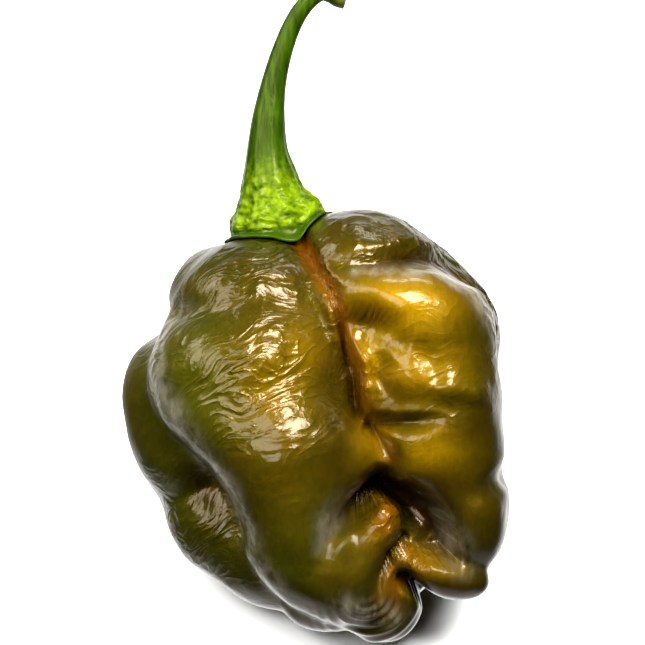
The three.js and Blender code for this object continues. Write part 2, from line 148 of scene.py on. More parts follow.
# Creases and low ridges across the front, as lines of points: x, z, how deep the skin is drawn
# in there (out, where it is negative) and how wide
FOLDS = {
    "main crease": [
        (-2.2, 21.3, 1.0, 0.8), (-0.9, 19.5, 1.1, 0.8), (0.2, 17.1, 1.0, 0.8),
        (1.6, 15.1, 0.9, 0.7), (2.4, 13.3, 0.9, 0.6), (2.8, 10.8, 1.0, 0.55),
        (3.5, 8.4, 1.0, 0.55), (4.1, 6.1, 1.0, 0.55), (4.3, 3.0, 0.9, 0.6), (4.6, 0.8, 0.5, 0.7),
    ],
    "fold across the right lobe": [
        (5.6, 0.5, 0.8, 0.8), (7.9, 0.9, 1.3, 1.0), (10.8, 1.1, 1.1, 1.1), (13.9, 1.8, 0.3, 1.3),
    ],
    "lower end of the main crease": [
        (6.1, 0.7, 1.0, 0.9), (7.4, -1.5, 1.0, 0.9), (8.4, -3.2, 1.0, 1.0), (8.4, -4.8, 0.9, 1.0),
    ],
    "hollow above the tongue": [
        (7.9, -4.4, 1.4, 0.8), (7.8, -6.0, 2.2, 1.1), (9.0, -7.0, 2.2, 1.3),
    ],
    "valley right of the tongue": [
        (9.2, -7.0, 2.2, 1.4), (10.9, -8.8, 2.1, 1.8), (12.6, -10.6, 1.8, 2.1),
        (14.4, -12.8, 0.9, 1.9),
    ],
    "valley left of the tongue": [
        (7.6, -4.6, 1.4, 0.9), (6.2, -6.2, 1.6, 1.2), (4.3, -7.9, 1.5, 1.3),
        (2.6, -9.6, 1.3, 1.3), (1.2, -12.0, 0.8, 1.2), (0.5, -14.0, 0.3, 1.2),
    ],
    "crease down the tongue": [
        (9.6, -11.6, 0.9, 0.8), (8.0, -13.4, 1.1, 0.7), (6.8, -15.8, 1.0, 0.7),
        (6.3, -19.3, 0.4, 0.8),
    ],
    "gap beside the tail": [
        (9.8, -16.2, 1.5, 0.9), (10.9, -17.2, 1.4, 0.8), (12.1, -18.4, 1.0, 0.8),
        (13.0, -19.3, 0.8, 0.8),
    ],
    "notch at the right side": [
        (21.0, -5.0, 0.9, 1.2), (19.4, -6.0, 0.6, 1.2), (17.6, -6.8, 0.2, 1.2),
    ],
    "dimple below the right shoulder": [
        (4.2, 12.0, 0.7, 1.6), (5.8, 11.6, 1.1, 1.9), (7.4, 11.0, 0.9, 1.9),
        (9.0, 9.8, 0.5, 1.6),
    ],
    "ridge over the dimple": [
        (4.6, 15.2, -0.4, 1.8), (7.0, 14.9, -0.6, 2.2), (10.4, 13.9, -0.4, 2.6),
        (13.6, 12.4, -0.2, 2.6),
    ],
    "groove behind the ridge": [
        (1.8, 18.6, 0.3, 1.4), (3.4, 17.9, 0.9, 1.4), (6.4, 17.9, 1.4, 1.3),
        (9.8, 18.5, 1.6, 1.3), (13.2, 18.3, 1.5, 1.3), (16.6, 16.6, 1.2, 1.2),
    ],
    "step on the left shoulder": [
        (-14.7, 12.7, 0.9, 1.8), (-12.4, 13.0, 0.8, 1.8), (-9.4, 13.5, 0.5, 1.8),
        (-6.3, 14.0, 0.1, 1.8),
    ],
    "hollow down the right bulge": [
        (10.4, 9.6, 0.2, 1.2), (12.0, 7.8, 0.4, 1.3), (13.0, 5.8, 0.3, 1.3),
    ],
    "lip beside the main crease": [
        (3.9, 9.8, -0.4, 0.8), (5.2, 7.4, -0.8, 0.8), (5.7, 4.4, -0.8, 0.9), (5.8, 2.2, -0.4, 0.9),
    ],
    "swelling on the right flank": [(14.6, 4.4, -0.6, 1.3), (17.4, 4.0, -0.6, 1.3)],
    "hollow beside the main crease": [(7.2, 7.6, 0.35, 1.2), (7.5, 5.8, 0.45, 1.3)],
    "gap beside the front left lobe": [
        (-15.0, -3.0, 0.9, 1.8), (-13.0, -5.4, 1.5, 2.2), (-11.2, -7.6, 1.5, 2.2),
        (-9.6, -10.4, 0.7, 2.0),
    ],
    "low valley on the right lobe": [
        (6.6, 5.6, 0.5, 1.3), (9.0, 3.2, 0.7, 1.5), (12.0, 2.9, 0.6, 1.6), (15.5, 3.0, 0.4, 1.6),
    ],
}

# Where the skin is rippled across, creased along the shoulder, pebbled or ridged, as soft patches:
# middle, half sizes, and how strong. Between them it is taut, with a low swell alone
RIPPLED = [
    (-6.5, -13.0, 6.0, 6.5, 8.0, 7.5, 1.0),
    (-12.0, -6.0, 9.0, 7.0, 9.0, 7.0, 0.8),
    (-7.0, -6.0, 17.0, 9.0, 9.0, 6.0, 0.9),
    (16.0, -9.0, 4.0, 3.0, 6.0, 3.0, 0.5),
    (11.5, -10.0, 13.0, 4.0, 7.0, 2.5, 0.35),
    (11.0, -10.0, 5.0, 6.0, 7.0, 6.0, 0.5),
    (0.5, -8.0, 12.5, 2.5, 8.0, 4.5, 0.6),
    (-12.0, 0.0, -10.0, 8.0, 9.0, 7.0, 0.7),
    (0.0, 18.0, 4.0, 16.0, 12.0, 12.0, 0.3),
]
CREASED = [
    (10.0, -1.0, 20.0, 9.0, 9.0, 4.5, 1.0),
    (18.5, 0.0, 13.0, 5.0, 9.0, 8.0, 1.0),
]
PEBBLED = [
    (2.6, -8.0, 9.0, 1.6, 8.0, 9.0, 0.5),
    (5.6, -9.0, 5.6, 1.5, 7.0, 4.6, 0.8),
    (1.2, -8.0, 16.0, 2.0, 8.0, 5.0, 0.7),
    (7.8, -9.0, -9.6, 2.4, 6.0, 3.0, 1.0),
    (10.6, -9.0, -14.2, 2.4, 6.0, 1.8, 0.7),
]
RIDGED = [(5.6, -8.0, -20.6, 4.4, 8.0, 3.0, 1.0)]
# The seat of the stalk, where the skin is smooth
SEAT = [(-4.3, 1.0, 20.5, 8.5, 8.5, 3.6, 0.95)]

# Patterns of rounded ridges with sharp valleys, each in a coarse and a fine layer: share, sizes
# in millimetres along x, y and z, and place in the noise
RIPPLES = ((0.65, (2.4, 2.4, 1.3), (3.1, 1.7, 0.4)), (0.35, (1.4, 1.4, 0.8), (8.2, 0.3, 5.6)))
CREASES = ((0.65, (4.2, 2.4, 1.3), (0.7, 3.4, 5.1)), (0.35, (2.2, 1.4, 0.8), (4.4, 6.2, 0.9)))
PEBBLES = ((0.65, (1.9, 1.9, 1.5), (5.5, 2.8, 9.1)), (0.35, (1.0, 1.0, 0.8), (1.4, 7.9, 2.2)))
CRINKLES = ((0.6, (1.7, 1.7, 1.0), (2.0, 4.0, 6.0)), (0.4, (0.9, 0.9, 0.6), (7.0, 1.0, 3.0)))
VALLEY_DEPTH = 2.6  # from ridge to valley, where the noise is at its strongest

# Heights of the patterns, as shares of half the wrinkles' depth
TAUT_HEIGHT = 0.1
RIPPLE_HEIGHT = 0.5
CREASE_HEIGHT = 1.4
PEBBLE_HEIGHT = 1.2
SWELL_HEIGHT = 0.9  # of the low swell everywhere
SWELL_SIZE = (3.8, 3.8, 3.2)
SWELL_PLACE = (6.3, 4.4, 1.9)

# The ripples waver, and rise to the right, more so on the left flank
RIPPLE_RISE = 0.22
FLANK_RISE = 0.2
FLANK_RANGE = (-8.0, -16.0)
WAVER = 1.5
WAVER_SIZE = (4.0, 4.0, 4.0)
# Turns the places so that x runs down the right shoulder, which its creases follow
SHOULDER_TILT = np.array([[0.9, 0.0, 0.43], [0.0, 1.0, 0.0], [-0.43, 0.0, 0.9]])
# The tail's ridges run in rings round this x and z
RIDGE_MIDDLE = (5.6, -17.8)
RIDGE_PITCH = 0.95
RIDGE_WAVER = 2
RIDGE_WAVER_SIZE = (4.5, 4.5, 4.5)

# Colours and wax are laid on as seen from the front, as soft patches: x, z, half sizes, share. The
# ripe colours and the painted shade fade out towards the back
PAINT_FADE = 6  # along y
PAINT_LEVEL = 0.4  # share that is left at y 0
LEAST_RIPPLE = 0.05  # fine creases in the taut skin
SHADE_RANGE = (0.6, 1.9)  # depths of a fold from where to where the painted shade grows dark
PAINTED_REFLECTION_RANGE = (-1.5, -4.5)  # y from where to where the painted reflection comes in
# Where the wax is thin or rubbed off, in folds and at the far left
FULL_GLOSS = 0.6  # weight of the wax where nothing dulls it
DULL = [
    (0.2, 13.4, 1.4, 3.6, 0.9),
    (7.7, -16.8, 1.2, 2.2, 0.8),
    (2.6, -13.4, 3.0, 2.2, 0.9),
    (13.4, -15.6, 2.6, 1.2, 0.6),
    (9.0, 2.4, 4.2, 1.0, 0.8),
    (6.4, -14.6, 1.4, 2.6, 0.8),
    (-22.0, 2.0, 3.0, 12.0, 0.8),
    (-15.5, 16.0, 3.0, 4.0, 0.6),
    (-18.0, -13.0, 4.0, 5.0, 0.5),
]
# Where the ripe golden colour shows through; over the right bulge it is partly a painted glow round
# the highlight
GOLDEN_AND_GLOW = [
    (9.0, 13.4, 6.0, 3.6, 1.0),
    (-1.6, 8.4, 2.6, 3.8, 0.4),
    (10.6, 6.8, 5.8, 3.6, 0.6),
    (6.0, 7.0, 1.8, 5.0, 0.7),
    (6.6, -1.0, 2.8, 4.0, 0.5),
    (12.4, -2.4, 4.0, 2.6, 0.6),
    (-4.2, 5.3, 4.0, 5.0, 0.35),
    (-4.3, -4.8, 6.0, 6.0, 0.1),
    (6.4, -11.0, 2.4, 2.6, 0.1),
    (12.0, -14.6, 3.0, 1.8, 0.25),
]
# Where the skin is still green, on the left flank
UNRIPE = [
    (-14.0, 3.0, 6.0, 10.0, 0.9),
    (-15.0, -5.0, 5.0, 8.0, 0.8),
    (-8.0, -13.0, 9.0, 4.0, 0.6),
]
# Painted shade in the dimple, beside the folds and in the hollow right of the tongue; beside the
# main crease it is partly brown skin
BROWN_AND_SHADE = [
    (5.7, 12.4, 2.9, 1.3, 0.95),
    (2.2, 0.5, 2.0, 5.0, 0.4),
    (6.8, 2.6, 2.0, 2.6, 0.4),
    (11.5, -6.5, 5.0, 2.0, 0.4),
]

# Painted pale reflections along the lobes' edges and on the banks of the hollow round the tongue,
# as lines of points: x, z, share and width
PAINTED_REFLECTION = {
    "edge of the front left lobe": [
        (-14.4, 13.4, 0.6, 0.9), (-17.0, 11.4, 0.9, 1.0), (-17.8, 8.7, 1.0, 1.1),
        (-17.0, 5.2, 0.9, 1.1), (-15.4, 2.2, 0.9, 1.1), (-13.8, -0.6, 1.0, 1.1),
        (-11.4, -3.6, 1.0, 1.1), (-9.4, -6.4, 0.9, 1.0), (-7.8, -10.0, 0.9, 1.0),
        (-6.4, -13.8, 0.8, 0.9), (-4.0, -17.0, 0.7, 0.9),
    ],
    "edge of the right bulge": [
        (4.0, 17.2, 0.4, 0.6), (8.4, 17.1, 0.7, 0.7), (12.5, 17.4, 0.8, 0.8),
        (16.4, 15.8, 0.8, 0.8), (18.6, 12.6, 0.8, 0.8), (19.8, 9.0, 0.5, 0.7),
    ],
    "foot": [(2.6, -18.6, 0.6, 1.1), (4.8, -20.0, 0.9, 1.4), (8.0, -20.2, 0.6, 1.3)],
    "left bank": [
        (3.6, -6.4, 0.0, 0.9), (2.8, -7.6, 0.5, 1.0), (1.5, -9.2, 0.7, 1.2), (0.3, -12.6, 0.3, 0.8),
    ],
    "right bank": [
        (12.8, -7.6, 0.2, 0.7), (14.2, -9.8, 0.6, 1.0), (15.2, -12.4, 0.7, 1.4),
        (16.4, -15.0, 0.4, 1.3),
    ],
}
# Ripe orange along the creases and folds, as the same kind of lines
ORANGE = {
    "main crease": [
        (-2.0, 21.4, 0.9, 0.8), (-0.5, 18.4, 0.9, 0.8), (1.0, 16.2, 0.9, 0.8),
        (2.2, 14.3, 0.8, 0.8), (2.8, 12.5, 0.8, 0.8), (3.3, 10.3, 0.7, 0.8),
        (4.1, 8.2, 0.6, 0.9), (4.7, 6.1, 0.6, 0.9), (4.9, 3.6, 0.5, 0.9), (5.4, 1.0, 0.3, 1.1),
    ],
    "end of the crease": [(7.2, -1.0, 0.2, 1.2), (8.2, -3.2, 0.3, 1.0)],
    "tongue": [(8.0, -8.4, 0.6, 1.2), (7.4, -10.2, 0.4, 1.4), (6.4, -12.0, 0.1, 1.6)],
    "lip": [(9.8, -13.4, 0.4, 1.2), (11.6, -14.4, 0.2, 1.4)],
    "tail": [(8.6, -15.5, 0.5, 1.2), (8.4, -18.5, 0.25, 1.8)],
}

# The stalk's middle line from the cap to its cut end: x, y, z and the stalk's radius there
STALK_LINE = [
    (-4.35, 0.95, 22.6, 5.05),
    (-4.5, 0.75, 24.0, 4.8),
    (-4.9, 0.5, 26.0, 3.6),
    (-5.2, 0.3, 28.3, 2.95),
    (-5.45, 0.1, 31.0, 2.3),
    (-5.3, 0.0, 34.5, 1.85),
    (-4.8, 0.0, 38.0, 1.45),
    (-3.9, 0.0, 41.6, 1.2),
    (-2.6, 0.0, 45.0, 1.05),
    (-1.1, 0.0, 47.3, 0.98),
    (0.5, 0.0, 48.5, 0.95),
    (1.5, -0.05, 48.45, 1.05),
    (2.4, -0.1, 48.2, 1.3),
    (3.3, -0.15, 48.0, 1.36),
]
STALK_RINGS = 150
STALK_CROWDING = 1.2  # above 1, it sets the rings closer together at the cap
HELD_ABOVE_LIP = 40  # rings that are kept each above the one below
CAP_CENTRE = np.array([-4.3, 1.0, 22.3])
CAP_LIFT = 6.0  # where the cap's underside starts to come down to the skin
CAP_GAP = 0.12  # between the cap's underside and the skin
SEAM_UNDER_CAP = 0.55
LIP_RADIUS = 6.1
LIP_WAVES = ((5, 0.22, 0.6), (8, 0.12, 0.0), (17, 0.09, 2.0))  # count, height, start
LIP_UNDERSIDE = (0.15, 0.3, 0.45, 0.6, 0.75, 0.9, 0.97)  # shares of the lip's radius
# Share of the lip's radius and height over the skin, round its edge
LIP_EDGE = ((1.0, 0.08), (1.02, 0.2), (1.015, 0.36), (0.985, 0.46), (0.93, 0.5), (0.88, 0.5))
CUT_END = ((0.8, 0.1), (0.5, 0.12), (0.25, 0.1))  # share of its radius, how far it stands out
CUT_MIDDLE = 0.08
LEVEL_DIGITS = 5  # to which points of the same ring are level

# The stalk's surface. Its places are shares of its line, from the cap to the cut end
CAP_SPAN = 0.01  # the part of the line that the cap's axis follows
TANGENT_SPAN = 0.004
PLEATS = (9, 0.05, 1)  # count round the cap, height as a share of the radius, start
PLEAT_RANGE = (0.45, 0.05)
RIBS = (5, 0.02)  # count round the stalk, height as a share of the radius
RISE_ABOVE_LIP = 0.03
BELL_RANGE = (0.3, 0.12)
CRINKLE_HEIGHT = 0.32
# The cap's yellow reaches up the stalk's base, partly as a painted highlight on the stalk
CAP_AND_HIGHLIGHT_RANGE = (0.44, 0.12)
LIP_RANGE = (0.035, 0.0)
CUT_RANGE = (0.9, 0.97)
CREVICE_SHADE_RANGE = (0.35, -0.6)  # heights of the crinkles from where to where the painted shade of their crevices grows
CREVICE_SHADE_SHARE = 0.85

# Soft lights: direction from the fruit, distance, width and height in metres, and power in watts
LIGHTS = {
    "key": ((0.3, -0.23, 0.89), 0.7, 0.38, 0.34, 9.0),
    "window": ((-0.35, -0.62, 0.68), 0.9, 0.45, 0.5, 4.0),
    "left": ((-0.8, -0.1, 0.6), 0.9, 0.5, 0.5, 4.0),
    "left back": ((-0.7, 0.42, 0.56), 0.8, 0.25, 0.3, 1.4),
    "back": ((0.2, 0.75, 0.63), 0.8, 0.4, 0.12, 1.0),
}
FLOOR_LIGHT = ((-0.15, 0.1, 1.0), 1.0, 1.6, 1.6, 24.0)
LIT_POINT = Vector((0.0, 0.0, 20 * MM))
FLOOR_SIZE = 6  # in metres

# The bright table in the dark room: how directly a direction points behind the fruit or down, from
# where to where it grows bright, and the least and greatest brightness
TABLE_BEHIND = (0.62, 0.98, 0.015, 1.5)
TABLE_BELOW = (-0.68, -0.95, 0.0, 0.7)

# The camera looks along the leaned fruit's own y, at this x, y and z of the fruit
SEEN_MIDDLE = (0.726, 0.0, 11.67)
SEEN_WIDTH = 72.05 * MM
CAMERA_DISTANCE = 400 * MM
CAMERA_SENSOR = 36.0
CLIP_START = 0.01


def straight_step(low, high, value):
    """0 below low, 1 above high and even between them, also where low is the greater."""
    return np.clip((value - low) / (high - low), 0, 1)


def smooth_step(low, high, value):
    """The same, with soft ends."""
    t = straight_step(low, high, value)
    return t * t * (3 - 2 * t)


def run_together(distances, blend):
    """The least of several distances, with a rounding of about the blend where they meet."""
    nearest = np.minimum.reduce(distances)
    total = sum(np.exp((nearest - distance) / blend) for distance in distances)
    return nearest - blend * np.log(total)


def swelling_distance(points, swelling):
    """How far points are outside one leaning ellipsoid, nearly."""
    x, y, z, a, b, c, lean = swelling
    turn = math.radians(lean)
    dx = points[:, 0] - x
    dz = points[:, 2] - z
    u = dx * math.cos(turn) - dz * math.sin(turn)
    v = points[:, 1] - y
    w = dx * math.sin(turn) + dz * math.cos(turn)
    near = np.sqrt((u / a) ** 2 + (v / b) ** 2 + (w / c) ** 2) + TINY
    slope = np.sqrt((u / a**2) ** 2 + (v / b**2) ** 2 + (w / c**2) ** 2) + TINY
    return near * (near - 1) / slope


def stroke(points, line):
    """A soft stroke along a line of x, z, strength and width, seen from the front."""
    best = np.zeros(len(points))
    for (ax, az, a_depth, a_width), (bx, bz, b_depth, b_width) in zip(line, line[1:]):
        dx = bx - ax
        dz = bz - az
        along = ((points[:, 0] - ax) * dx + (points[:, 2] - az) * dz) / (dx * dx + dz * dz)
        t = np.clip(along, 0, 1)
        off = np.hypot(points[:, 0] - ax - t * dx, points[:, 2] - az - t * dz)
        width = a_width + (b_width - a_width) * t
        depth = (a_depth + (b_depth - a_depth) * t) * np.exp(-((off / width) ** 2))
        best = np.where(np.abs(depth) > np.abs(best), depth, best)
    return best


def strongest_stroke(points, lines):
    return np.maximum.reduce([stroke(points, line) for line in lines.values()])


def patch(points, patches):
    """How much of each point lies in soft patches, each a middle, half sizes and a share."""
    most = np.zeros(len(points))
    for x, y, z, a, b, c, share in patches:
        off = ((points - (x, y, z)) / (a, b, c)) ** 2
        most = np.maximum(most, share * np.exp(-off.sum(axis=1)))
    return most


def flush(points, patches):
    """The same for patches of colour laid on from the front: x, z, half sizes and a share."""
    most = np.zeros(len(points))
    for x, z, a, c, share in patches:
        off = ((points[:, 0] - x) / a) ** 2 + ((points[:, 2] - z) / c) ** 2
        most = np.maximum(most, share * np.exp(-off))
    return most


def grain(points, size, place=(0.0, 0.0, 0.0)):
    """Soft bumps from -1 to 1, of the given sizes in millimetres along x, y and z."""
    scaled = (points / np.array(size) + np.array(place)).tolist()
    return np.array([noise.noise(point) for point in scaled])


def lobe_distance(points, seam):
    """How far points are outside the lobes, which are run together with the rounding of a seam."""
    lobes = [
        run_together([swelling_distance(points, swelling) for swelling in swellings], blend)
        for blend, swellings in LOBES.values()
    ]
    return run_together(lobes, seam)


def pod_distance(points, seam_front, seam_back):
    """How far points are outside the fruit's smooth skin."""
    back = straight_step(*SEAM_RANGE, points[:, 1])
    distance = lobe_distance(points, seam_front + (seam_back - seam_front) * back)
    front = straight_step(*FOLD_RANGE, points[:, 1])
    depths = [stroke(points, line) for line in FOLDS.values()]
    drawn_in = np.maximum(np.maximum.reduce(depths), 0) + np.minimum(np.minimum.reduce(depths), 0)
    height = points[:, 2] * math.cos(LEAN_BACK) - points[:, 1] * math.sin(LEAN_BACK)
    return np.maximum(distance + front * drawn_in, GROUND - height)


def units(vectors):
    """The vectors, each made 1 long."""
    return vectors / np.linalg.norm(vectors, axis=1)[:, None]


def come_in(start, direction, distance):
    """Moves points in along their directions until the distance that they are given is nothing."""
    points = start.copy()
    going = np.arange(len(points))
    for _ in range(STEPS_IN):
        gap = distance(points[going])
        moved = np.clip(STEP_SHARE * gap, *STEP_LIMITS)
        points[going] += direction[going] * moved[:, None]
        going = going[np.abs(gap) > CLOSE]
        if len(going) == 0:
            break
    return points


def lay_down(points):
    """From the fruit's own frame to the part's, leaned back, both in millimetres."""
    sine = math.sin(LEAN_BACK)
    cosine = math.cos(LEAN_BACK)
    y = points[:, 1] * cosine + points[:, 2] * sine
    z = -points[:, 1] * sine + points[:, 2] * cosine
    return np.column_stack([points[:, 0], y, z])


def standing_place(smooth):
    """How far the leaned fruit moves, so that its smooth skin fills the box of the solid pod."""
    low, high = (np.array(corner) / MM for corner in POD_BOX)
    shift = (low + high) / 2 - (smooth.min(axis=0) + smooth.max(axis=0)) / 2
    shift[2] = low[2] - smooth[:, 2].min()
    return shift


def get_points(mesh):
    flat = np.empty(3 * len(mesh.vertices))
    mesh.vertices.foreach_get("co", flat)
    return flat.reshape(-1, 3)


def set_points(mesh, points):
    mesh.vertices.foreach_set("co", points.ravel())
    mesh.update()


def get_normals(mesh):
    flat = np.empty(3 * len(mesh.vertices))
    mesh.vertex_normals.foreach_get("vector", flat)
    return flat.reshape(-1, 3)


def paint(mesh, name, values):
    attribute = mesh.attributes.new(name, "FLOAT", "POINT")
    attribute.data.foreach_set("value", np.clip(values, -1, 1).astype(np.float32))


def paint_places(mesh, name, places):
    attribute = mesh.attributes.new(name, "FLOAT_VECTOR", "POINT")
    attribute.data.foreach_set("vector", places.astype(np.float32).ravel())


def start_piece(name, add, **settings):
    """Adds a primitive with nothing else selected, and names it."""
    bpy.ops.object.select_all(action="DESELECT")
    add(**settings)
    piece = bpy.context.object
    piece.name = name
    piece.data.name = name
    return piece


def linear(colour):
    """A hex colour as red, green, blue and alpha for a shader."""
    parts = []
    for i in (1, 3, 5):
        part = int(colour[i : i + 2], 16) / 255
        parts.append(part / 12.92 if part <= 0.04045 else ((part + 0.055) / 1.055) ** 2.4)
    return (*parts, 1.0)


def add_node(tree, kind, settings=None, **inputs):
    """Adds a node, sets its options and fills its inputs with values or other nodes' outputs."""
    node = tree.nodes.new(kind)
    for name, value in (settings or {}).items():
        setattr(node, name, value)
    for name, value in inputs.items():
        socket = node.inputs[int(name[1:])] if name[0] == "i" and name[1:].isdigit() else None
        socket = socket or node.inputs[name.replace("_", " ")]
        if isinstance(value, bpy.types.NodeSocket):
            tree.links.new(value, socket)
        else:
            socket.default_value = value
    return node


def new_material(name):
    material = bpy.data.materials.new(name)
    material.use_nodes = True
    material.node_tree.nodes.clear()
    return material, material.node_tree


def attribute_of(tree, name):
    return add_node(tree, "ShaderNodeAttribute", {"attribute_name": name}).outputs["Fac"]


def mix_colour(tree, share, first, second, blend="MIX"):
    settings = {"data_type": "RGBA", "blend_type": blend}
    return add_node(tree, "ShaderNodeMix", settings, i0=share, i6=first, i7=second).outputs[2]


def map_range(tree, value, low, high, least, most, soft=False):
    """Turns a value between low and high into one between least and most."""
    settings = {"interpolation_type": "SMOOTHSTEP" if soft else "LINEAR"}
    return add_node(
        tree, "ShaderNodeMapRange", settings, i0=value, i1=low, i2=high, i3=least, i4=most
    ).outputs["Result"]


def calculate(tree, operation, first, second):
    return add_node(
        tree, "ShaderNodeMath", {"operation": operation}, i0=first, i1=second
    ).outputs[0]


def clouds(tree, place, size, detail=3.0, roughness=0.6):
    """Soft noise with patches of a size in millimetres, for a place in metres."""
    return add_node(
        tree, "ShaderNodeTexNoise", Vector=place, Scale=1 / (size * MM), Detail=detail,
        Roughness=roughness,
    ).outputs["Fac"]


def webbed(tree, place, size, distortion):
    """Sharp ridges round cells of a size in millimetres, for a place in millimetres."""
    return add_node(
        tree, "ShaderNodeTexNoise", {"noise_type": "RIDGED_MULTIFRACTAL"}, Vector=place,
        Scale=1 / size, Detail=3.0, Roughness=0.5, Distortion=distortion, Offset=1.0, Gain=1.0,
    ).outputs["Fac"]


def stretched(tree, place, scale):
    """Places whose patterns are drawn out where the scale is below 1."""
    return add_node(tree, "ShaderNodeMapping", Vector=place, Scale=scale).outputs["Vector"]


def waxy_skin(colours):
    """Waxy chilli skin: thin, taut and glossy, olive green where it is unripe and golden to orange
    where it ripens along the creases, with painted shade in its folds and painted pale reflections
    along its edges. It gives the eye sharp broken highlights and pale rims over a soft golden
    sheen."""
    material, tree = new_material("Waxy chilli skin")
    place = add_node(tree, "ShaderNodeTexCoord").outputs["Object"]

    # Green and olive mottles about 5 mm across, under the ripe colours and the painted shade
    mottle = map_range(tree, clouds(tree, place, 5.0, roughness=0.55), 0.35, 0.65, 0.0, 1.0)
    skin = mix_colour(tree, mottle, linear(colours.green), linear(colours.olive))
    skin = mix_colour(tree, attribute_of(tree, "unripe"), skin, linear(colours.unripe))
    skin = mix_colour(tree, attribute_of(tree, "golden"), skin, linear(colours.golden))
    skin = mix_colour(tree, attribute_of(tree, "orange"), skin, linear(colours.orange))
    # Painted shade: dark brown in the folds, the dimple and the hollow, partly brown skin beside
    # the crease
    skin = mix_colour(tree, attribute_of(tree, "shade_and_brown"), skin, linear(colours.shade_and_brown))

    # Painted pale reflections in soft streaks, 2 mm wide and about twice as long
    streaks = clouds(tree, stretched(tree, place, (1.0, 0.45, 0.45)), 2.0, detail=4.0)
    streaks = map_range(tree, streaks, 0.4, 0.62, 0.1, 1.0)
    painted_reflection = calculate(tree, "MULTIPLY", attribute_of(tree, "painted_reflection"), streaks)
    skin = mix_colour(tree, painted_reflection, skin, linear(colours.painted_reflection))

    # Cells of the flesh under the skin, about 0.5 mm across and drawn out along the fruit
    cells = clouds(tree, stretched(tree, place, (1.0, 0.4, 0.4)), 0.5, detail=4.0)
    shade = map_range(tree, cells, 0.3, 0.7, 0.85, 1.12)
    skin = mix_colour(tree, 1.0, skin, shade, "MULTIPLY")

    # Fine creases between the modelled wrinkles: 1.3 mm apart and twice as long where the skin is
    # rippled, a web of 2.2 mm where it is creased or pebbled, and a grain of 0.35 mm everywhere
    flow = add_node(
        tree, "ShaderNodeAttribute", {"attribute_name": "flow"}
    ).outputs["Vector"]
    ripples = webbed(tree, stretched(tree, flow, (0.5, 0.5, 1.0)), 1.3, distortion=0.4)
    web = webbed(tree, flow, 2.2, distortion=0.3)
    fine = clouds(tree, place, 0.35, roughness=0.5)
    bump = add_node(
        tree, "ShaderNodeBump", Strength=0.3, Distance=0.05 * MM, Height=fine
    ).outputs["Normal"]
    bump = add_node(
        tree, "ShaderNodeBump", Strength=attribute_of(tree, "rippled"), Distance=0.15 * MM,
        Height=ripples, Normal=bump,
    ).outputs["Normal"]
    bump = add_node(
        tree, "ShaderNodeBump", Strength=attribute_of(tree, "pebbled"), Distance=0.35 * MM,
        Height=web, Normal=bump,
    ).outputs["Normal"]

    # Two layers of gloss: clear wax on top for the sharp highlights, and the flesh under it for
    # the golden sheen. Both are dull where the wax is thin
    gloss = attribute_of(tree, "gloss")
    roughness = map_range(tree, gloss, 0.0, FULL_GLOSS, 0.8, 0.4)
    shader = add_node(
        tree,
        "ShaderNodeBsdfPrincipled",
        Base_Color=skin,
        Roughness=roughness,
        IOR=1.5,
        Specular_Tint=linear("#ffc648"),
        Coat_Weight=gloss,
        Coat_Roughness=0.15,
        Normal=bump,
        Coat_Normal=bump,
        Subsurface_Weight=0.12,
        Subsurface_Radius=(1.0, 0.5, 0.1),
        Subsurface_Scale=1.2 * MM,
    )
    add_node(tree, "ShaderNodeOutputMaterial", Surface=shader.outputs[0])
    return material


def green_stalk(colours):
    """Fresh green stalk: fibrous and softly glossy, bright yellow-green on the crinkled cap and
    darker along the lip, with painted shade in the cap's crevices and a painted highlight where the
    cap's yellow reaches up the stalk. It gives the eye the sharp change from the fruit's wax."""
    material, tree = new_material("Fibrous green stalk")
    place = add_node(tree, "ShaderNodeTexCoord").outputs["Object"]

    # Pale fibres run up the stalk, 0.5 mm apart, and the cap is spotted, 0.9 mm apart
    fibres = clouds(tree, stretched(tree, place, (1.0, 0.15, 0.15)), 0.5)
    spots = clouds(tree, place, 0.9)
    pale = map_range(tree, fibres, 0.35, 0.7, 0.0, 0.7)
    body = mix_colour(tree, pale, linear(colours.stalk), linear(colours.stalk_light))
    # The cap's yellow spots, reaching up the stalk partly as a painted highlight
    yellow = calculate(tree, "MULTIPLY", attribute_of(tree, "cap"), spots)
    yellow = map_range(tree, yellow, 0.22, 0.62, 0.0, 1.0)
    body = mix_colour(tree, yellow, body, linear(colours.cap))
    # Painted shade: the cap's crevices are darkened to the stalk's dark green
    body = mix_colour(tree, attribute_of(tree, "crevice_shade"), body, linear(colours.stalk))
    body = mix_colour(tree, attribute_of(tree, "lip"), body, linear(colours.lip))
    body = mix_colour(tree, attribute_of(tree, "cut"), body, linear(colours.cut))

    bump = add_node(
        tree, "ShaderNodeBump", Strength=0.35, Distance=0.12 * MM,
        Height=calculate(tree, "ADD", fibres, spots),
    ).outputs["Normal"]
    shader = add_node(
        tree,
        "ShaderNodeBsdfPrincipled",
        Base_Color=body,
        Roughness=0.3,
        Specular_IOR_Level=0.25,
        Specular_Tint=linear("#fff2b8"),
        Normal=bump,
        Subsurface_Weight=0.15,
        Subsurface_Radius=(0.6, 1.0, 0.15),
        Subsurface_Scale=0.8 * MM,
    )
    add_node(tree, "ShaderNodeOutputMaterial", Surface=shader.outputs[0])
    return material


def white_sweep():
    """Matt white paper sweep, bright enough to burn out round the fruit's soft shadow."""
    material, tree = new_material("White paper sweep")
    shader = add_node(
        tree, "ShaderNodeBsdfPrincipled", Base_Color=linear("#f7f7f6"), Roughness=0.9
    )
    add_node(tree, "ShaderNodeOutputMaterial", Surface=shader.outputs[0])
    return material


